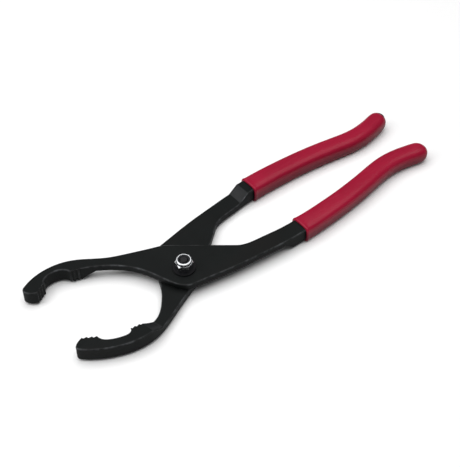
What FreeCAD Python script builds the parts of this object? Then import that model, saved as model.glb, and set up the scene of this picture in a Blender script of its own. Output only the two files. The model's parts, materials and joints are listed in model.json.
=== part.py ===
import FreeCAD, Part
import math
import os

from FreeCAD import Placement, Rotation, Vector

# Oil filter pliers: two forged levers that cross at a sliding pivot, each with a dipped grip.
# X runs along the tool, with the jaws towards -X and the handles towards +X. Z points up
# through the pivot bolt to its nut. The origin is on the pivot axis, on the lower face of the
# bolt's head, which is level with the lowest face of both grips.

doc = FreeCAD.newDocument("FilterPliers")
sheet = doc.addObject("Spreadsheet::Sheet", "Dimensions")

DIMENSIONS = [
    ("lever_thick", 10.5, "full thickness of a lever at its jaw and handle"),
    ("lap_thick", 5.2, "thickness of a lever where it crosses the other one"),
    ("lift", 1.55, "levers' underside above the rest plane"),
    ("seat_run", 2.8, "along the tool, from the near seat of the slot to the far one"),
    ("seat_rise", 15.3, "across the tool, from the near seat of the slot to the far one"),
    ("grip_height", 13.6, "height of a grip's section"),
    ("grip_round", 3.4, "rounding along a grip's edges"),
    ("head_wide", 16.0, "bolt head diameter"),
    ("head_thick", 1.5, "bolt head thickness"),
    ("head_chamfer", 0.6, "chamfer round the head's lower edge"),
    ("shank_wide", 11.0, "diameter of the double-D shank in the slot"),
    ("shank_flats", 8.0, "across the flats of the double-D shank"),
    ("shank_long", 5.3, "length of the double-D shank"),
    ("shoulder_wide", 8.0, "diameter of the round shoulder in the upper lever"),
    ("shoulder_long", 5.3, "length of the round shoulder"),
    ("thread_wide", 6.0, "diameter of the threaded end"),
    ("thread_long", 8.5, "length of the threaded end above the shoulder"),
    ("thread_chamfer", 0.7, "chamfer at the thread's tip"),
    ("play", 0.05, "radial clearance of every running fit"),
    ("washer_wide", 16.0, "washer outer diameter"),
    ("washer_thick", 1.0, "washer thickness"),
    ("nut_flats", 11.1, "across the flats of the lock nut"),
    ("nut_hex_high", 5.3, "height of the nut's hexagon"),
    ("nut_high", 7.5, "height of the nut with its collar"),
    ("nut_chamfer", 0.9, "height of the hexagon's chamfer"),
    ("collar_wide", 10.8, "outer diameter of the nut's collar"),
    ("collar_round", 0.7, "rounding at the collar's rim"),
    ("insert_wide", 8.6, "outer diameter of the nylon insert"),
    ("insert_high", 2.1, "height of the nylon insert"),
    ("insert_drop", 0.3, "insert's top below the collar's rim"),
]

for row, (alias, value, note) in enumerate(DIMENSIONS, start=1):
    sheet.set("A%d" % row, note)
    sheet.set("B%d" % row, str(value))
    sheet.setAlias("B%d" % row, alias)
doc.recompute()


def size(alias):
    return float(sheet.get(alias))


def bind(item, **expressions):
    # Each keyword names a property, with a double underscore for a dot inside its path.
    for path, expression in expressions.items():
        for alias, _, _ in DIMENSIONS:
            expression = expression.replace("<%s>" % alias, "Dimensions.%s" % alias)
        item.setExpression(path.replace("__", "."), expression)
    return item


# ---------------------------------------------------------------- outlines in a lever's frame
# Both levers are drawn in the same frame, with the outer side of the jaw at +Y and the handle
# at -Y. The lower lever is that shape turned over about X. Each list runs clockwise.

LAP_CORNER = (1.5, 26.0)
LAP_SHOULDER = (40.0, -5.0)
LAP_HEEL = (-1.5, -15.5)
HANDLE_ROOT = 80.0

INNER_SIDE = [LAP_SHOULDER, (44.0, -7.6), (50.0, -9.4), (60.0, -10.7), (70.0, -12.0)]
OUTER_SIDE = [(68.0, -25.1), (50.0, -23.3), (30.0, -21.0), (12.0, -18.0), LAP_HEEL]
JAW_ROOT = [LAP_HEEL, (-8.6, -13.0), (-13.2, -6.9), (-18.2, 5.5), (-22.0, 14.5), (-30.0, 26.0),
            (-38.0, 33.4)]

# The handle's centreline, which the steel tang and the grip round it both follow. Each half
# width is given at the strip's start and at its end.
HANDLE_LINE = [(100.0, -19.2), (115.0, -18.5), (130.0, -17.4), (145.0, -15.7), (160.0, -13.4),
               (172.0, -11.3), (184.0, -10.4), (194.0, -11.2), (203.0, -13.0), (209.5, -14.8)]
HANDLE_START_Y = -19.2
HANDLE_END_DROP = 0.26  # how steeply the centreline falls at its end
TIP_TURNS = (60, 30, 0, -30, -60)  # directions, either side of straight on, to the end's points

TANG_HALF = (6.4, 5.4)
GRIP_HALF = (8.15, 7.5)

HIGH_JAW = {
    "outer": [(-93.6, 52.9), (-84.5, 56.6), (-73.0, 58.0), (-62.0, 56.5), (-52.0, 52.3),
              (-43.0, 46.2), (-34.0, 40.4), (-22.0, 35.1), (-10.0, 30.3), LAP_CORNER],
    "inner_pad": [(-53.6, 42.6), (-61.6, 45.1)],
    "relief": [(-61.6, 45.1), (-63.4, 49.0), (-67.0, 51.4), (-72.5, 52.1), (-77.6, 51.0),
               (-80.4, 47.1)],
    "tip_pad": [(-80.4, 47.1), (-87.9, 43.1)],
    "nose": [(-87.9, 43.1), (-92.6, 45.8), (-94.9, 50.0), (-93.6, 52.9)],
    "ramp_foot": (-45.6, 39.2),
    "arm_angle": 151.0,
}
LOW_JAW = {
    "outer": [(-95.3, 28.2), (-86.4, 35.4), (-76.0, 41.0), (-66.0, 44.4), (-56.0, 45.8),
              (-47.0, 45.2), (-37.0, 42.1), (-24.0, 36.3), (-10.0, 30.2), LAP_CORNER],
    "inner_pad": [(-51.2, 35.7), (-60.0, 34.1)],
    "relief": [(-60.0, 34.1), (-62.4, 36.8), (-67.0, 36.5), (-74.0, 33.9), (-78.4, 30.7),
               (-80.2, 26.2)],
    "tip_pad": [(-80.2, 26.2), (-88.5, 21.0)],
    "nose": [(-88.5, 21.0), (-93.0, 22.6), (-95.9, 25.6), (-95.3, 28.2)],
    "ramp_foot": (-43.0, 37.5),
    "arm_angle": 165.0,
}

TOOTH_COUNT = 3
TOOTH_DEPTH = 1.1
TOOTH_SLANT = 0.72      # how far along its pitch a tooth's root lies
JAW_RAMP = 9.0
HANDLE_RAMP = 7.5
HANDLE_RAMP_FOOT = 69.0
MOUTH_OUTWARD = 40.0    # how far the cut runs past the jaw's arm, on its outer side
MOUTH_INWARD = 42.0     # and on its inner side
MOUTH_HALF = 60.0       # how far the cut runs past the handle, on both sides


def point(xy):
    return Vector(xy[0], xy[1], 0)


def smooth(points):
    curve = Part.BSplineCurve()
    curve.interpolate([point(p) for p in points])
    return [curve]


def straight(points):
    return [Part.LineSegment(point(a), point(b)) for a, b in zip(points, points[1:])]


def beside(line, halves):
    # Points level with those of a centreline, a distance to its left that changes evenly.
    first, last = halves
    found = []
    for index, (x, y) in enumerate(line):
        before = line[max(index - 1, 0)]
        after = line[min(index + 1, len(line) - 1)]
        run = math.hypot(after[0] - before[0], after[1] - before[1])
        across = (-(after[1] - before[1]) / run, (after[0] - before[0]) / run)
        half = first + (last - first) * index / (len(line) - 1)
        found.append((x + across[0] * half, y + across[1] * half))
    return found


def handle_sides(start_x, halves, reach=0.0):
    # The two sides of a strip round the handle's centreline, and the round end between them.
    line = [(start_x, HANDLE_START_Y)] + HANDLE_LINE
    line[-1] = (line[-1][0] + reach, line[-1][1] - reach * HANDLE_END_DROP)
    left = beside(line, halves)
    right = beside(line, [-half for half in halves])
    x1, y1 = line[-1]
    heading = math.atan2(y1 - line[-2][1], x1 - line[-2][0])
    ways = [heading + math.radians(turn) for turn in TIP_TURNS]
    tip = [(x1 + halves[1] * math.cos(way), y1 + halves[1] * math.sin(way)) for way in ways]
    return left, tip, right


def serrated(ends):
    # A toothed pad: its crests stay on the line between its ends, its roots go into the steel.
    (x0, y0), (x1, y1) = ends
    run = math.hypot(x1 - x0, y1 - y0)
    inward = ((y1 - y0) / run, -(x1 - x0) / run)
    points = [(x0, y0)]
    for tooth in range(TOOTH_COUNT):
        for share, depth in ((TOOTH_SLANT, TOOTH_DEPTH), (1.0, 0.0)):
            along = (tooth + share) / TOOTH_COUNT
            points.append((x0 + (x1 - x0) * along + inward[0] * depth,
                           y0 + (y1 - y0) * along + inward[1] * depth))
    return points


def lever_outline(jaw):
    left, tip, right = handle_sides(HANDLE_ROOT, TANG_HALF)
    edges = smooth(jaw["outer"])
    edges += straight([LAP_CORNER, LAP_SHOULDER])
    edges += smooth(INNER_SIDE + left + tip + right[::-1] + OUTER_SIDE)
    edges += smooth(JAW_ROOT + [jaw["inner_pad"][0]])
    edges += straight(serrated(jaw["inner_pad"]))
    edges += smooth(jaw["relief"])
    edges += straight(serrated(jaw["tip_pad"]))
    edges += smooth(jaw["nose"])
    return edges


def lap_outline(jaw, jaw_ramp, handle_ramp):
    # The area thinned for the crossing: each ramp moves one side of it outwards.
    angle = math.radians(jaw["arm_angle"])
    along = (math.cos(angle), math.sin(angle))
    across = (along[1], -along[0])
    foot_x, foot_y = jaw["ramp_foot"]
    near_x = foot_x + along[0] * jaw_ramp
    near_y = foot_y + along[1] * jaw_ramp
    far_x = HANDLE_RAMP_FOOT + handle_ramp
    corners = [(near_x + across[0] * MOUTH_OUTWARD, near_y + across[1] * MOUTH_OUTWARD),
               (far_x, MOUTH_HALF), (far_x, -MOUTH_HALF),
               (near_x - across[0] * MOUTH_INWARD, near_y - across[1] * MOUTH_INWARD)]
    return straight(corners + corners[:1])


# ------------------------------------------------------------------------------- tree helpers

def new_body(name):
    return doc.addObject("PartDesign::Body", name)


def sketch_on(body, name, edges, height=None):
    # A sketch on the body's XY plane, raised by an expression where one is given.
    sketch = body.newObject("Sketcher::SketchObject", name)
    planes = [item for item in body.Origin.OriginFeatures if item.Role == "XY_Plane"]
    sketch.AttachmentSupport = [(planes[0], "")]
    sketch.MapMode = "FlatFace"
    sketch.addGeometry(edges, False)
    if height:
        bind(sketch, AttachmentOffset__Base__z=height)
    return sketch


def pad(body, sketch, length):
    item = body.newObject("PartDesign::Pad", sketch.Name + "Pad")
    item.Profile = sketch
    return bind(item, Length=length)


def drill(body, sketch):
    item = body.newObject("PartDesign::Pocket", sketch.Name + "Pocket")
    item.Profile = sketch
    item.Type = "ThroughAll"
    item.Midplane = True
    return item


def primitive(kind, name, **expressions):
    return bind(doc.addObject("Part::" + kind, name), **expressions)


def cut(name, base, tool):
    item = doc.addObject("Part::Cut", name)
    item.Base = base
    item.Tool = tool
    return item


def fuse(name, shapes):
    item = doc.addObject("Part::MultiFuse", name)
    item.Shapes = shapes
    return item


def level_edges(shape, heights, near=0.001):
    # Names of the edges that lie flat at one of the given heights, but for any across the tool.
    names = []
    for index, edge in enumerate(shape.Edges, start=1):
        box = edge.BoundBox
        flat = any(abs(box.ZMin - z) < near and abs(box.ZMax - z) < near for z in heights)
        if flat and box.XLength > near:
            names.append("Edge%d" % index)
    return names


# ------------------------------------------------------------------------------------- levers

SLOT_LENGTH = math.hypot(size("seat_run"), size("seat_rise"))
SLOT_DIRECTION = (size("seat_run") / SLOT_LENGTH, size("seat_rise") / SLOT_LENGTH)


def round_hole():
    radius = size("shoulder_wide") / 2 + size("play")
    return [Part.Circle(Vector(0, 0, 0), Vector(0, 0, 1), radius)]


def slot_edges():
    # Two round seats joined by a neck that passes only the flats of the shank.
    radius = size("shank_wide") / 2 + size("play")
    half_neck = size("shank_flats") / 2 + size("play")
    reach = math.sqrt(radius * radius - half_neck * half_neck)
    along = Vector(-SLOT_DIRECTION[0], SLOT_DIRECTION[1], 0)
    across = Vector(along.y, -along.x, 0)
    near = Vector(0, 0, 0)
    far = along * SLOT_LENGTH
    sides = [[seat + along * step + across * side
              for seat, step in ((near, reach), (far, -reach))]
             for side in (half_neck, -half_neck)]
    return [Part.Arc(sides[0][0], near - along * radius, sides[1][0]),
            Part.LineSegment(sides[1][0], sides[1][1]),
            Part.Arc(sides[1][1], far + along * radius, sides[0][1]),
            Part.LineSegment(sides[0][1], sides[0][0])]


def make_lever(name, jaw, opening):
    # A full-thickness blank, thinned from below between its ramps, then pierced for the bolt.
    body = new_body(name)
    pad(body, sketch_on(body, name + "Blank", lever_outline(jaw)), "<lever_thick>")
    doc.recompute()
    wide = sketch_on(body, name + "LapMouth", lap_outline(jaw, JAW_RAMP, HANDLE_RAMP))
    narrow = sketch_on(body, name + "LapFloor", lap_outline(jaw, 0.0, 0.0),
                       "<lever_thick> - <lap_thick>")
    lap = body.newObject("PartDesign::SubtractiveLoft", name + "Lap")
    lap.Profile = wide
    lap.Sections = [narrow]
    lap.Ruled = True
    doc.recompute()
    drill(body, sketch_on(body, name + "Bore", opening))
    doc.recompute()
    return body


def soften(body, heights, radius):
    # Rounds every flat-lying edge at the given heights.
    solid = body.Tip
    item = body.newObject("PartDesign::Fillet", body.Name + "Edges")
    item.Base = (solid, level_edges(solid.Shape, heights))
    return bind(item, Radius=radius)


def turned_over():
    # Turned half round about X, so that the lap that was above comes below.
    high = size("lift") + size("lever_thick")
    far_seat = Vector(size("seat_run"), size("seat_rise"), high)
    return Placement(far_seat, Rotation(Vector(1, 0, 0), 180))


pivot_lever = make_lever("PivotLever", HIGH_JAW, round_hole())
slotted_lever = make_lever("SlottedLever", LOW_JAW, slot_edges())


# -------------------------------------------------------------------------------------- grips

# Where each grip starts along X, and how far it runs past the handle's own centreline.
HIGH_GRIP = (87.0, 1.1)
LOW_GRIP = (82.0, -0.8)


def make_grip(name, start_x, reach):
    # Dipped by hand, so each grip starts and ends at a length of its own.
    left, tip, right = handle_sides(start_x, GRIP_HALF, reach)
    edges = smooth(left + tip + right[::-1])
    edges += straight([right[0], left[0]])
    body = new_body(name)
    depth = "(<lever_thick> - <grip_height>) / 2"
    pad(body, sketch_on(body, name + "Plan", edges, depth), "<grip_height>")
    doc.recompute()
    low = (size("lever_thick") - size("grip_height")) / 2
    soften(body, (low, low + size("grip_height")), "<grip_round>")
    doc.recompute()
    return body


high_grip = make_grip("HighGripForm", *HIGH_GRIP)
low_grip = make_grip("LowGripForm", *LOW_GRIP)

for body in (pivot_lever, high_grip):
    body.Placement = Placement(Vector(0, 0, size("lift")), Rotation())
for body in (slotted_lever, low_grip):
    body.Placement = turned_over()

pivot_lever_grip = cut("PivotLeverGrip", high_grip, pivot_lever)
slotted_lever_grip = cut("SlottedLeverGrip", low_grip, slotted_lever)


# ----------------------------------------------------------------------- bolt, nut and washer

def make_bolt():
    # Low round head, double-D shank, round shoulder and thread, from the bottom up.
    head_block = primitive("Cylinder", "BoltHeadBlock", Radius="<head_wide> / 2",
                           Height="<head_thick>")
    doc.recompute()
    head = doc.addObject("Part::Chamfer", "BoltHead")
    head.Base = head_block
    rim = int(level_edges(head_block.Shape, (0.0,))[0][4:])
    head.Edges = [(rim, size("head_chamfer"), size("head_chamfer"))]
    shank = doc.addObject("Part::Common", "BoltShank")
    shank.Base = primitive("Cylinder", "BoltShankRound", Radius="<shank_wide> / 2",
                           Height="<shank_long>", Placement__Base__z="<head_thick>")
    shank.Tool = primitive("Box", "BoltShankFlats", Length="<shank_wide>",
                           Width="<shank_flats>", Height="<shank_long>",
                           Placement__Base__x="-<shank_wide> / 2",
                           Placement__Base__y="-<shank_flats> / 2",
                           Placement__Base__z="<head_thick>")
    shoulder = primitive("Cylinder", "BoltShoulder", Radius="<shoulder_wide> / 2",
                         Height="<shoulder_long>",
                         Placement__Base__z="<head_thick> + <shank_long>")
    thread_block = primitive("Cylinder", "BoltThreadBlock", Radius="<thread_wide> / 2",
                             Height="<thread_long>",
                             Placement__Base__z="<head_thick> + <shank_long> + <shoulder_long>")
    doc.recompute()
    thread = doc.addObject("Part::Chamfer", "BoltThread")
    thread.Base = thread_block
    top = thread_block.Shape.BoundBox.ZMax
    tip = int(level_edges(thread_block.Shape, (top,))[0][4:])
    thread.Edges = [(tip, size("thread_chamfer"), size("thread_chamfer"))]
    bolt = fuse("PivotBolt", [head, shank, shoulder, thread])
    slot_angle = math.degrees(math.atan2(SLOT_DIRECTION[1], SLOT_DIRECTION[0]))
    bolt.Placement = Placement(Vector(0, 0, 0), Rotation(Vector(0, 0, 1), slot_angle))
    return bolt


def make_washer():
    disc = primitive("Cylinder", "WasherDisc", Radius="<washer_wide> / 2",
                     Height="<washer_thick>")
    hole = primitive("Cylinder", "WasherHole", Radius="<thread_wide> / 2 + <play>",
                     Height="<washer_thick>")
    washer = cut("NutWasher", disc, hole)
    return bind(washer, Placement__Base__z="<head_thick> + <shank_long> + <shoulder_long>")


NUT_BASE = "<head_thick> + <shank_long> + <shoulder_long> + <washer_thick>"
HEX_TURN = -39.1        # one flat of the nut faces the front left of the tool


def make_nut():
    # Hexagon with a chamfered top, a rolled collar above it and a pocket for the insert.
    across_corners = "<nut_flats> / cos(30 deg)"
    hexagon = primitive("Prism", "NutHexagon", Circumradius=across_corners + " / 2",
                        Height="<nut_hex_high>")
    hexagon.Polygon = 6
    crown = primitive("Cone", "NutCrown", Height="<nut_chamfer>",
                      Radius1=across_corners + " / 2",
                      Radius2="<nut_flats> / 2",
                      Placement__Base__z="<nut_hex_high> - <nut_chamfer>")
    barrel = primitive("Cylinder", "NutBarrel", Radius=across_corners + " / 2",
                       Height="<nut_hex_high> - <nut_chamfer>")
    shaped = doc.addObject("Part::Common", "NutShaped")
    shaped.Base = hexagon
    shaped.Tool = fuse("NutEnvelope", [barrel, crown])
    collar_block = primitive("Cylinder", "NutCollarBlock", Radius="<collar_wide> / 2",
                             Height="<nut_high>")
    doc.recompute()
    collar = doc.addObject("Part::Fillet", "NutCollar")
    collar.Base = collar_block
    rim = int(level_edges(collar_block.Shape, (size("nut_high"),))[0][4:])
    collar.Edges = [(rim, size("collar_round"), size("collar_round"))]
    solid = fuse("NutSolid", [shaped, collar])
    bore = primitive("Cylinder", "NutBore", Radius="<thread_wide> / 2 + <play>",
                     Height="<nut_high>")
    pocket = primitive("Cylinder", "NutPocket", Radius="<insert_wide> / 2",
                       Height="<insert_high> + <insert_drop>",
                       Placement__Base__z="<nut_high> - <insert_high> - <insert_drop>")
    nut = cut("LockNut", solid, fuse("NutHollow", [bore, pocket]))
    nut.Placement = Placement(Vector(0, 0, 0), Rotation(Vector(0, 0, 1), HEX_TURN))
    return bind(nut, Placement__Base__z=NUT_BASE)


def make_insert():
    ring_block = primitive("Cylinder", "InsertBlock", Radius="<insert_wide> / 2",
                           Height="<insert_high>")
    hole = primitive("Cylinder", "InsertHole", Radius="<thread_wide> / 2 + <play>",
                     Height="<insert_high>")
    insert = cut("LockNutInsert", ring_block, hole)
    height = NUT_BASE + " + <nut_high> - <insert_high> - <insert_drop>"
    return bind(insert, Placement__Base__z=height)


SUBPARTS = {
    "slotted_lever": slotted_lever,
    "slotted_lever_grip": slotted_lever_grip,
    "pivot_lever": pivot_lever,
    "pivot_lever_grip": pivot_lever_grip,
    "pivot_bolt": make_bolt(),
    "nut_washer": make_washer(),
    "lock_nut": make_nut(),
    "lock_nut_insert": make_insert(),
}

doc.recompute()

failed = [item.Name for item in doc.Objects if set(item.State) & {"Invalid", "Error"}]
if failed:
    raise RuntimeError("failed objects: " + ", ".join(failed))

os.makedirs("parts", exist_ok=True)
for node, item in SUBPARTS.items():
    item.Label = node
    shape = item.Shape
    if shape.isNull() or not shape.isValid() or not shape.Solids:
        raise RuntimeError("bad shape: " + node)
    shape.exportStep(os.path.join("parts", node + ".step"))
    box = shape.BoundBox
    print("%-20s solids %d  x %.1f..%.1f  y %.1f..%.1f  z %.2f..%.2f" % (
        node, len(shape.Solids), box.XMin, box.XMax, box.YMin, box.YMax, box.ZMin, box.ZMax))
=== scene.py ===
import json
import math

import bmesh
import bpy
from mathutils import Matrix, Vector


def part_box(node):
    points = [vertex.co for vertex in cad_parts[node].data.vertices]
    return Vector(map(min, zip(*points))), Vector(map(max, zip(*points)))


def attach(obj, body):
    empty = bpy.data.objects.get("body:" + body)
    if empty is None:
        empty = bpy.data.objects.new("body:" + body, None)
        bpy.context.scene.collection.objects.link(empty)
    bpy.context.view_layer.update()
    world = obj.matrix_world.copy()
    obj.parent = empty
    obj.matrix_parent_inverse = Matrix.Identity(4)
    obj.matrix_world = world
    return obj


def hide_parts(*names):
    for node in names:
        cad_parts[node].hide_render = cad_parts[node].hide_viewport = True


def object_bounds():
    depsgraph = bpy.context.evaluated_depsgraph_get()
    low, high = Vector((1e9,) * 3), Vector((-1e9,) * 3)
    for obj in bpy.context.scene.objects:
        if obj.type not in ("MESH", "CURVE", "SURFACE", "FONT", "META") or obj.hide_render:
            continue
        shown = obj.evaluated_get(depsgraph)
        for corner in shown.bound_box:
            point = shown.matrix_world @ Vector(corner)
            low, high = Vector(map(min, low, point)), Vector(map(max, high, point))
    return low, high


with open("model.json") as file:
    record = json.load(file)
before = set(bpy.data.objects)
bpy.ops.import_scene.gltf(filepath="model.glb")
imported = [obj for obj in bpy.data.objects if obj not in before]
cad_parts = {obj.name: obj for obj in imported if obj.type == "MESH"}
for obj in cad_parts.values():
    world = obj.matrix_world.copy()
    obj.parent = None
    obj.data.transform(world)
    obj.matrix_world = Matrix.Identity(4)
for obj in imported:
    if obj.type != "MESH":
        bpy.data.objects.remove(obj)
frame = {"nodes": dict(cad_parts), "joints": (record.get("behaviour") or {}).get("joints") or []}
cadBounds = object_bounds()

nodes = frame["nodes"]
joints = {joint["name"]: joint for joint in frame["joints"]}
pivot = Vector(joints["jaw_pivot"]["pos_m"])
print("frame loaded:", ", ".join(sorted(nodes)))

stageLook = {
    "floorSize": 6.0,
    "floorDrop": 0.0001,             # the floor lies this far under the lowest face
    "floorShade": (0.93, 0.93, 0.93),
    "floorRoughness": 0.9,
    "floorGloss": 0.1,
    "worldShade": (1.0, 1.0, 1.0),
    "worldPower": 0.10,
    "lights": [                      # name, place from the pivot, size, watts
        ("overhead", (0.08, 0.06, 1.10), 1.8, 18.5),
        ("leftFill", (-0.70, 0.30, 0.62), 0.8, 3.4),
    ],
}

cameraLook = {
    "azimuth": -39.1,                # degrees round from looking along +Y
    "elevation": 46.5,
    "distance": 0.6935,
    "aimFromPivot": (0.0439, 0.0052),
    "lens": 77.1,
    "sensor": 36.0,
}

meshLook = {
    "merge": 0.000004,           # vertices nearer than this become one
    "flatTurn": 0.6,             # faces that turn less than this, in degrees, become one
    "smoothTurn": 35.0,          # edges that turn more than this stay sharp
}


def deselectAll():
    if bpy.context.object and bpy.context.object.mode != "OBJECT":
        bpy.ops.object.mode_set(mode="OBJECT")
    bpy.ops.object.select_all(action="DESELECT")


def pick(piece):
    deselectAll()
    piece.select_set(True)
    bpy.context.view_layer.objects.active = piece


def applyAll(piece):
    pick(piece)
    for modifier in list(piece.modifiers):
        bpy.ops.object.modifier_apply(modifier=modifier.name)


def settle(piece):               # the place goes into the mesh, the object to the origin
    pick(piece)
    bpy.ops.object.transform_apply(location=True, rotation=True, scale=True)


def layMaterials(piece, materials):
    piece.data.materials.clear()
    for material in materials:
        piece.data.materials.append(material)


def smoothFaces(piece):          # smooth faces that keep their flats and their sharp edges
    weighted = piece.modifiers.new("faceNormals", "WEIGHTED_NORMAL")
    weighted.keep_sharp = True
    pick(piece)
    bpy.ops.object.shade_smooth_by_angle(angle=math.radians(meshLook["smoothTurn"]))
    applyAll(piece)


def handOver(piece, body, replaced):
    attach(piece, body)
    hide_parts(replaced)


# camera and stage

def makeCamera(look):
    azimuth = math.radians(look["azimuth"])
    elevation = math.radians(look["elevation"])
    flat = Vector((-math.sin(azimuth), math.cos(azimuth), 0)) * math.cos(elevation)
    forward = flat - Vector((0, 0, math.sin(elevation)))
    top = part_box("pivot_lever")[1].z
    aim = Vector((pivot.x + look["aimFromPivot"][0], pivot.y + look["aimFromPivot"][1], top))
    data = bpy.data.cameras.new("benchCamera")
    data.lens = look["lens"]
    data.sensor_width = look["sensor"]
    data.clip_start = 0.01
    camera = bpy.data.objects.new("benchCamera", data)
    camera.location = aim - forward * look["distance"]
    camera.rotation_euler = forward.to_track_quat("-Z", "Y").to_euler()
    bpy.context.scene.collection.objects.link(camera)
    bpy.context.scene.camera = camera


def makeStage(look):
    deselectAll()
    bpy.ops.mesh.primitive_plane_add(size=look["floorSize"],
                                     location=(0, 0, cadBounds[0][2] - look["floorDrop"]))
    floor = bpy.context.object
    floor.name = "paleFloor"
    settle(floor)
    surface = bpy.data.materials.new("palePaper")
    surface.use_nodes = True
    shader = surface.node_tree.nodes["Principled BSDF"]
    shader.inputs["Base Color"].default_value = (*look["floorShade"], 1)
    shader.inputs["Roughness"].default_value = look["floorRoughness"]
    shader.inputs["Specular IOR Level"].default_value = look["floorGloss"]
    floor.data.materials.append(surface)
    world = bpy.data.worlds.new("studioAir")
    world.use_nodes = True
    air = world.node_tree.nodes["Background"]
    air.inputs["Color"].default_value = (*look["worldShade"], 1)
    air.inputs["Strength"].default_value = look["worldPower"]
    bpy.context.scene.world = world
    for name, place, size, power in look["lights"]:
        data = bpy.data.lights.new(name, "AREA")
        data.shape = "DISK"
        data.size = size
        data.energy = power
        lamp = bpy.data.objects.new(name, data)
        lamp.location = pivot + Vector(place)
        lamp.rotation_euler = (-Vector(place)).to_track_quat("-Z", "Y").to_euler()
        bpy.context.scene.collection.objects.link(lamp)
    bpy.context.scene.view_settings.view_transform = "Standard"


# shader maths

class Wire:                      # a socket that can be added, taken away and scaled
    def __init__(self, paint, socket):
        self.paint = paint
        self.socket = socket

    def maths(self, operation, first, second):
        return self.paint.make("ShaderNodeMath", {"operation": operation}, {0: first, 1: second})

    def __add__(self, other):
        return self.maths("ADD", self, other)

    def __rsub__(self, other):
        return self.maths("SUBTRACT", other, self)

    def __mul__(self, other):
        return self.maths("MULTIPLY", self, other)

    __radd__ = __add__
    __rmul__ = __mul__


class Paint:
    def __init__(self, name, **constants):
        self.material = bpy.data.materials.new(name)
        self.material.use_nodes = True
        self.tree = self.material.node_tree
        self.shader = self.tree.nodes["Principled BSDF"]
        for key, value in constants.items():
            self.shader.inputs[key.replace("_", " ")].default_value = value
        self.place = self.make("ShaderNodeTexCoord", output="Object")

    def make(self, kind, settings=None, inputs=None, output=0):
        node = self.tree.nodes.new(kind)
        for key, value in (settings or {}).items():
            if key == "stops":
                ramp = node.color_ramp
                while len(ramp.elements) < len(value):
                    ramp.elements.new(0.5)
                for element, (position, color) in zip(ramp.elements, value):
                    element.position = position
                    element.color = (*color, 1)
            else:
                setattr(node, key, value)
        for key, value in (inputs or {}).items():
            if isinstance(value, Wire):
                self.tree.links.new(value.socket, node.inputs[key])
            else:
                node.inputs[key].default_value = value
        return Wire(self, node.outputs[output])

    def noise(self, scale, detail=3.0, roughness=0.5, stretch=None):
        place = self.place
        if stretch:
            place = self.make("ShaderNodeMapping", {}, {"Vector": place, "Scale": stretch})
        return self.make("ShaderNodeTexNoise", {}, {"Vector": place, "Scale": scale,
                         "Detail": detail, "Roughness": roughness}, "Fac")

    def ramp(self, factor, *stops):
        return self.make("ShaderNodeValToRGB", {"stops": stops}, {"Fac": factor}, "Color")

    def blendColor(self, factor, first, second):
        node = self.tree.nodes.new("ShaderNodeMix")
        node.data_type = "RGBA"
        for socket, value in ((node.inputs[0], factor), (node.inputs[6], first),
                              (node.inputs[7], second)):
            if isinstance(value, Wire):
                self.tree.links.new(value.socket, socket)
            else:
                socket.default_value = (*value, 1) if isinstance(value, tuple) else value
        return Wire(self, node.outputs[2])

    def feed(self, **wires):
        for key, wire in wires.items():
            self.tree.links.new(wire.socket, self.shader.inputs[key.replace("_", " ")])

    def bump(self, height, distance):
        self.feed(Normal=self.make("ShaderNodeBump", {}, {"Height": height, "Distance": distance,
                                                          "Strength": 1.0}, "Normal"))


steelLook = {
    "dark": (0.0050, 0.0058, 0.0057),
    "light": (0.0105, 0.0120, 0.0119),
    "warm": (0.0105, 0.0092, 0.0086),
    "roughLow": 0.40,
    "roughSpan": 0.22,
    "gloss": 0.06,
    "patchScale": 55.0,
    "heatScale": 24.75,          # faint brown clouds from the blackening
    "grainScale": 1500.0,
    "pitScale": 420.0,
    "scratchScale": 260.0,
    "grainDepth": 0.00007,
}


def blackSteel(look):
    paint = Paint("blackForgedSteel", Metallic=0.0, IOR=1.5, Specular_IOR_Level=look["gloss"])
    patches = paint.noise(look["patchScale"], 4.0, 0.55)
    tone = paint.blendColor(patches, look["dark"], look["light"])
    heat = paint.ramp(paint.noise(look["heatScale"], 2.0),
                      (0.55, (0, 0, 0)), (0.75, (1, 1, 1)))
    tone = paint.blendColor(heat * 0.5, tone, look["warm"])
    grain = paint.noise(look["grainScale"], 3.0, 0.6)
    pits = paint.ramp(paint.noise(look["pitScale"], 2.0, 0.4),
                      (0.30, (0, 0, 0)), (0.42, (1, 1, 1)))
    scratches = paint.noise(look["scratchScale"], 2.0, 0.5, stretch=(0.25, 3.0, 3.0))
    paint.feed(Base_Color=tone,
               Roughness=look["roughLow"] + (patches * 0.6 + scratches * 0.4) * look["roughSpan"])
    paint.bump(grain * 0.5 + pits * 0.35 + scratches * 0.15, look["grainDepth"])
    return paint.material


edgeLook = {
    "black": (0.0050, 0.0056, 0.0058),
    "bare": (0.070, 0.073, 0.077),
    "bareScale": 190.0,
    "gloss": 0.2,
    "roughness": 0.46,
    "grainDepth": 0.00003,
}


def wornEdge(look):
    paint = Paint("rubbedSteelEdge", IOR=1.5, Specular_IOR_Level=look["gloss"])
    rubbed = paint.noise(look["bareScale"], 4.0, 0.6)
    amount = paint.make("ShaderNodeMapRange", {}, {"Value": rubbed, "From Min": 0.42,
                                                   "From Max": 0.72}, "Result")
    paint.feed(Base_Color=paint.blendColor(amount, look["black"], look["bare"]),
               Metallic=amount,
               Roughness=look["roughness"] - amount * 0.12)
    paint.bump(paint.noise(steelLook["grainScale"], 3.0, 0.6), look["grainDepth"])
    return paint.material


rampLook = {
    "dark": (0.0068, 0.0075, 0.0083),
    "light": (0.0115, 0.0126, 0.0140),
    "slopes": (0.6, 0.95),       # a ramp's normal rises by this much, up or down
    "gloss": 0.24,
    "roughness": 0.34,
    "patchScale": 140.0,
    "grainDepth": 0.00004,
}


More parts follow.
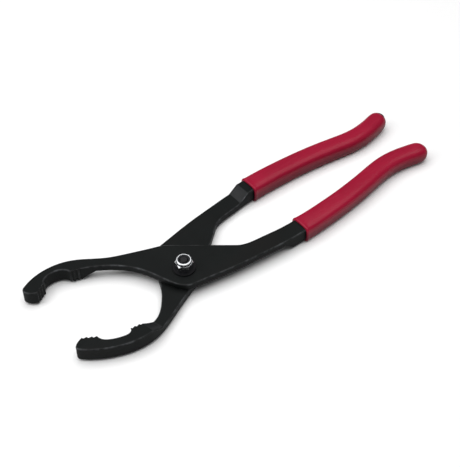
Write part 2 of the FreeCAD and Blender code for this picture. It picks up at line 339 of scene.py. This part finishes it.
def smoothRamp(look):            # the ramps beside the lap are smoother than the forged faces
    paint = Paint("trimmedSteelRamp", IOR=1.5, Specular_IOR_Level=look["gloss"])
    patches = paint.noise(look["patchScale"], 4.0, 0.55)
    paint.feed(Base_Color=paint.blendColor(patches, look["dark"], look["light"]),
               Roughness=look["roughness"] + patches * 0.16)
    paint.bump(paint.noise(steelLook["grainScale"], 3.0, 0.6), look["grainDepth"])
    return paint.material


def markRamps(piece, slopes):    # the lever's third material goes on its ramps
    gentle, steep = slopes
    for face in piece.data.polygons:
        if gentle < abs(face.normal.z) < steep:
            face.material_index = 2


vinylLook = {
    "deep": (0.250, 0.0060, 0.024),
    "bright": (0.370, 0.0085, 0.038),
    "scuffed": (0.50, 0.06, 0.10),
    "gloss": 0.06,
    "coat": 0.20,
    "roughness": 0.40,
    "peelScale": 620.0,
    "peelDepth": 0.00008,
    "cloudScale": 38.0,
    "scuffScale": 150.0,
    "paintedSideShade": (0.050, 0.005, 0.011),   # painted shade: the sides darken towards the bottom, where less light falls
    "unshadedAbove": 0.0125,
    "fullyShadedBelow": 0.0045,
}


def redVinyl(look):
    paint = Paint("dippedRedVinyl", IOR=1.5, Specular_IOR_Level=look["gloss"],
                  Coat_Roughness=0.2, Subsurface_Weight=0.04,
                  Subsurface_Radius=(0.002, 0.0006, 0.0006), Subsurface_Scale=0.6)
    clouds = paint.noise(look["cloudScale"], 4.0, 0.5)
    peel = paint.noise(look["peelScale"], 2.0, 0.45)
    scuffs = paint.noise(look["scuffScale"], 5.0, 0.65, stretch=(0.4, 2.5, 2.5))
    rubbed = paint.ramp(scuffs, (0.52, (0, 0, 0)), (0.74, (1, 1, 1)))
    tone = paint.blendColor(clouds, look["deep"], look["bright"])
    tone = paint.blendColor(rubbed * 0.12, tone, look["scuffed"])
    # painted shade: the vinyl darkens towards the bottom of the grip, standing in for the shade
    # on its sides
    height = paint.make("ShaderNodeSeparateXYZ", {}, {"Vector": paint.place}, "Z")
    sideShade = paint.make("ShaderNodeMapRange", {"interpolation_type": "SMOOTHSTEP"},
                        {"Value": height, "From Min": look["unshadedAbove"],
                         "From Max": look["fullyShadedBelow"]}, "Result")
    tone = paint.blendColor(sideShade * (0.55 + clouds * 0.3), tone, look["paintedSideShade"])
    paint.feed(Base_Color=tone,
               Roughness=look["roughness"] + clouds * 0.06 + rubbed * 0.14,
               Coat_Weight=look["coat"] - rubbed * 0.12)
    paint.bump(peel * 0.7 + scuffs * 0.3, look["peelDepth"])
    return paint.material


zincLook = {
    "dark": (0.42, 0.43, 0.45),
    "light": (0.66, 0.67, 0.68),
    "roughness": 0.13,
    "depth": 0.00002,
}


def zincPlate(look):
    paint = Paint("brightZinc", Metallic=1.0)
    cloud = paint.noise(420.0, 3.0, 0.5)
    fine = paint.noise(2600.0, 2.0, 0.5)
    paint.feed(Base_Color=paint.blendColor(cloud, look["dark"], look["light"]),
               Roughness=look["roughness"] + cloud * 0.10)
    paint.bump(fine * 0.6 + cloud * 0.4, look["depth"])
    return paint.material


# partly real, partly painted shade: the washer is a part, but its near-black colour stands in for
# the soft shadow round the nut's foot
washerAndShadowLook = {
    "dark": (0.007, 0.007, 0.008),
    "light": (0.014, 0.014, 0.015),
    "roughness": 0.42,
    "depth": 0.00002,
}

boltLook = {
    "dark": (0.012, 0.012, 0.013),
    "light": (0.030, 0.030, 0.032),
    "roughness": 0.30,
    "depth": 0.00002,
}


def turnedSteel(name, look):     # fine rings from the lathe, round the pivot's axis
    paint = Paint(name, Metallic=0.9)
    rings = paint.make("ShaderNodeTexWave", {"wave_type": "RINGS", "rings_direction": "Z"},
                       {"Vector": paint.place, "Scale": 620.0, "Distortion": 0.6, "Detail": 2.0,
                        "Detail Scale": 3.0}, "Fac")
    cloud = paint.noise(300.0, 3.0, 0.5)
    paint.feed(Base_Color=paint.blendColor(cloud, look["dark"], look["light"]),
               Roughness=look["roughness"] + cloud * 0.12)
    paint.bump(rings * 0.6 + cloud * 0.4, look["depth"])
    return paint.material


nylonLook = {
    "dark": (0.010, 0.011, 0.013),
    "light": (0.022, 0.023, 0.027),
    "gloss": 0.15,
    "roughness": 0.5,
    "depth": 0.00003,
}


def dullNylon(look):
    paint = Paint("darkNylon", IOR=1.5, Specular_IOR_Level=look["gloss"])
    cloud = paint.noise(500.0, 3.0, 0.5)
    paint.feed(Base_Color=paint.blendColor(cloud, look["dark"], look["light"]),
               Roughness=look["roughness"] + cloud * 0.12)
    paint.bump(paint.noise(1800.0, 2.0, 0.5), look["depth"])
    return paint.material


# forged levers: the frame's own shape with its edges rounded as a forging's are

leverLook = {
    "rounding": 0.0008,
    "steps": 3,
    "toothShare": 0.3,           # of the rounding, on upright edges and on short runs of edges
    "shortRun": 0.004,           # a run no longer than this belongs to a tooth
    "cornerTurn": 18.0,          # in degrees: a run of edges ends where it turns more
    "sharpTurn": 40.0,           # edges that turn more are rounded
    "uprightRise": 0.9,          # an upright edge rises by more than this share of its length
    "wallTilt": 0.1,             # the most that a wall's normal rises
    "seamTurn": 10.0,            # edges inside a wall that turn less and slope less are dropped
    "seamSlope": 0.3,
}


def cleanCopy(node, name):       # a joined-up copy of a frame node with its flats dissolved
    piece = bpy.data.objects.new(name, nodes[node].data.copy())
    bpy.context.scene.collection.objects.link(piece)
    pick(piece)
    bpy.ops.object.mode_set(mode="EDIT")
    bpy.ops.mesh.select_all(action="SELECT")
    bpy.ops.mesh.remove_doubles(threshold=meshLook["merge"])
    bpy.ops.mesh.dissolve_limited(angle_limit=math.radians(meshLook["flatTurn"]))
    bpy.ops.object.mode_set(mode="OBJECT")
    return piece


def rise(edge):                  # a share of the edge's length
    return abs(edge.verts[0].co.z - edge.verts[1].co.z) / edge.calc_length()


def dropSeams(piece, look):      # a shallow seam under a rim would fold the rounding there
    shape = bmesh.new()
    shape.from_mesh(piece.data)
    seams = []
    for edge in shape.edges:
        walls = [face for face in edge.link_faces if abs(face.normal.z) < look["wallTilt"]]
        if len(walls) == 2 and rise(edge) < look["seamSlope"]:
            if edge.calc_face_angle(0.0) < math.radians(look["seamTurn"]):
                seams.append(edge)
    bmesh.ops.dissolve_edges(shape, edges=seams, use_verts=False)
    shape.to_mesh(piece.data)
    shape.free()
    print(piece.name, "wall seams dropped:", len(seams))


def runsOf(edges, turn):          # chains of edges that meet without a corner
    left = set(edges)
    while left:
        run = [left.pop()]
        for edge in run:
            for vertex in edge.verts:
                here = edge.other_vert(vertex).co - vertex.co
                ahead = [other for other in vertex.link_edges if other in left]
                for other in ahead:
                    there = other.other_vert(vertex).co - vertex.co
                    if math.pi - here.angle(there) < turn:
                        left.discard(other)
                        run.append(other)
        yield run


def weighEdges(piece, look):
    shape = bmesh.new()
    shape.from_mesh(piece.data)
    weights = shape.edges.layers.float.new("bevel_weight_edge")
    turn = math.radians(look["sharpTurn"])
    sharp = [edge for edge in shape.edges
             if len(edge.link_faces) == 2 and edge.calc_face_angle(0.0) > turn]
    upright = [edge for edge in sharp if rise(edge) > look["uprightRise"]]
    for edge in upright:
        edge[weights] = look["toothShare"]
    for run in runsOf(set(sharp) - set(upright), math.radians(look["cornerTurn"])):
        long = sum(edge.calc_length() for edge in run) > look["shortRun"]
        for edge in run:
            edge[weights] = 1.0 if long else look["toothShare"]
    shape.to_mesh(piece.data)
    shape.free()


def roundEdges(piece, width, steps):
    bevel = piece.modifiers.new("forgedRounding", "BEVEL")
    bevel.width = width
    bevel.segments = steps
    bevel.limit_method = "WEIGHT"
    bevel.use_clamp_overlap = False
    bevel.material = 1           # the rubbed edge is each lever's second material
    bevel.miter_outer = "MITER_ARC"
    smoothFaces(piece)


def forgeLever(node, name, body, materials, look):
    piece = cleanCopy(node, name)
    dropSeams(piece, look)
    weighEdges(piece, look)
    layMaterials(piece, materials)
    markRamps(piece, rampLook["slopes"])
    roundEdges(piece, look["rounding"], look["steps"])
    handOver(piece, body, node)
    print(name, "forged:", len(piece.data.polygons), "faces")


# dipped grips: a section carried along the handle, from a rolled mouth to a round end

gripLook = {
    "points": 48,                # round one section
    "stations": 26,
    "straightShare": 0.7,        # of the stations, before the end begins to round
    "firstStation": 0.0004,      # its place from the mouth
    "endReach": 0.998,           # how near the last one is to the very end
    "boxy": 4.2,                 # squareness of the section at the mouth
    "round": 2.8,                # and near the end
    "roundingPace": 1.15,        # above 1, so that it gets there before the end
    "endSoftening": 0.9,         # squareness lost over the round end
    "wall": 0.0017,              # thickness of the vinyl at the mouth
    "mouthDepth": 0.004,         # how far in the mouth is hollow, round the tang
    "lip": 0.00035,              # the dip gathers into a slight bead at its edge
    "lipLength": 0.0022,
    "merge": 0.000002,
}


def crossings(node, x):          # lowest and highest Y of a frame node where X is x
    ys = []
    mesh = nodes[node].data
    for edge in mesh.edges:
        a = mesh.vertices[edge.vertices[0]].co
        b = mesh.vertices[edge.vertices[1]].co
        if (a.x - x) * (b.x - x) < 0:
            ys.append(a.y + (b.y - a.y) * (x - a.x) / (b.x - a.x))
    return min(ys), max(ys)


def ringPoint(angle, squareness):
    across = math.cos(angle)
    up = math.sin(angle)
    return (math.copysign(abs(across) ** (2 / squareness), across),
            math.copysign(abs(up) ** (2 / squareness), up))


def stationsAlong(start, length, endRound, look):
    straightPart = length - endRound
    turnShare = look["straightShare"]
    for index in range(look["stations"]):
        share = index / (look["stations"] - 1)
        if share < turnShare:
            yield start + look["firstStation"] + straightPart * share / turnShare
        else:
            turn = (share - turnShare) / (1 - turnShare) * math.pi / 2
            yield start + straightPart + endRound * math.sin(turn) * look["endReach"]


def gripRings(node, look):       # x, middle y, half width, middle z, half height, squareness
    low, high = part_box(node)
    length = high.x - low.x
    endRound = (high.z - low.z) / 2
    rings = []
    for x in stationsAlong(low.x, length, endRound, look):
        yLow, yHigh = crossings(node, x)
        share = min(1.0, (x - low.x) / length * look["roundingPace"])
        squareness = look["boxy"] + (look["round"] - look["boxy"]) * share
        past = max(0.0, (x - (high.x - endRound)) / endRound)
        rings.append([x, (yLow + yHigh) / 2, (yHigh - yLow) / 2, (low.z + high.z) / 2,
                      endRound * math.sqrt(1 - past * past),
                      squareness - past * look["endSoftening"]])
    return mouthRings(low.x, rings[0], look) + [
        ring for ring in rings[1:] if ring[0] > low.x + look["lipLength"] * 1.6]


def mouthRings(start, first, look):
    wall = look["wall"]
    bead = look["lip"]
    lip = look["lipLength"]
    shape = [(look["mouthDepth"], -wall), (0.0005, -wall), (0.0001, -wall * 0.75),
             (0.0, -wall * 0.4), (0.0001, 0.0), (0.0006, bead * 0.8),
             (lip * 0.6, bead), (lip, bead * 0.25), (lip * 1.5, 0.0)]
    return [[start + along, first[1], first[2] + out, first[3], first[4] + out, first[5]]
            for along, out in shape]


def placeRing(vertices, ring, angles):   # each vertex goes round the section to its own angle
    x, middleY, halfWidth, middleZ, halfHeight, squareness = ring
    placed = {}
    for vertex in vertices:
        angle = angles[vertex.co.copy().freeze()]
        across, up = ringPoint(angle, squareness)
        z = max(middleZ + halfHeight * up, cadBounds[0][2])   # the bead is flat where it rests
        vertex.co = Vector((x, middleY + halfWidth * across, z))
        placed[vertex.co.copy().freeze()] = angle
    return placed


def dipGrip(node, name, body, material, look):
    deselectAll()
    bpy.ops.mesh.primitive_circle_add(vertices=look["points"], radius=0.005, fill_type="NGON",
                                      location=(0, 0, 0))
    piece = bpy.context.object
    piece.name = name
    angles = {vertex.co.copy().freeze(): math.atan2(vertex.co.y, vertex.co.x)
              for vertex in piece.data.vertices}
    bpy.ops.object.mode_set(mode="EDIT")
    for index, ring in enumerate(gripRings(node, look)):
        if index:
            bpy.ops.mesh.extrude_region_move()
        shape = bmesh.from_edit_mesh(piece.data)
        moved = [vertex for vertex in shape.verts if vertex.select]
        angles = placeRing(moved, ring, angles)
        bmesh.update_edit_mesh(piece.data)
    bpy.ops.mesh.select_all(action="SELECT")
    bpy.ops.mesh.remove_doubles(threshold=look["merge"])
    bpy.ops.mesh.normals_make_consistent(inside=False)
    bpy.ops.object.mode_set(mode="OBJECT")
    smoothing = piece.modifiers.new("softSkin", "SUBSURF")
    smoothing.levels = 1
    smoothing.render_levels = 1
    applyAll(piece)
    bpy.ops.object.shade_smooth()
    layMaterials(piece, [material])
    handOver(piece, body, node)
    print(name, "dipped:", len(piece.data.polygons), "faces")


# small steel pieces: the frame's own shapes with their edges eased

smallLook = {
    "easing": 0.00022,
    "steps": 3,
    "easedTurn": 24.0,           # edges that turn more than this, in degrees, are eased
}


def easeSmall(node, name, material, look):
    piece = cleanCopy(node, name)
    bevel = piece.modifiers.new("easedEdges", "BEVEL")
    bevel.width = look["easing"]
    bevel.segments = look["steps"]
    bevel.limit_method = "ANGLE"
    bevel.angle_limit = math.radians(look["easedTurn"])
    smoothFaces(piece)
    layMaterials(piece, [material])
    handOver(piece, "pivot", node)
    print(name, "eased:", len(piece.data.polygons), "faces")


makeCamera(cameraLook)
makeStage(stageLook)

steels = [blackSteel(steelLook), wornEdge(edgeLook), smoothRamp(rampLook)]
vinyl = redVinyl(vinylLook)
zinc = zincPlate(zincLook)
nylon = dullNylon(nylonLook)
# the washer's near-black steel carries painted shade for the shadow round the nut
shadowDarkTurned = turnedSteel("shadowDarkWasherSteel", washerAndShadowLook)
brightTurned = turnedSteel("turnedBoltSteel", boltLook)
print("materials made")

forgeLever("slotted_lever", "lowerForging", "slotted_half", steels, leverLook)
forgeLever("pivot_lever", "upperForging", "pivot_half", steels, leverLook)
dipGrip("slotted_lever_grip", "farGrip", "slotted_half", vinyl, gripLook)
dipGrip("pivot_lever_grip", "nearGrip", "pivot_half", vinyl, gripLook)
easeSmall("lock_nut", "collarNut", zinc, smallLook)
easeSmall("lock_nut_insert", "nylonRing", nylon, smallLook)
easeSmall("nut_washer", "shadowDarkWasher", shadowDarkTurned, smallLook)
easeSmall("pivot_bolt", "shoulderBolt", brightTurned, smallLook)

print("pieces done")
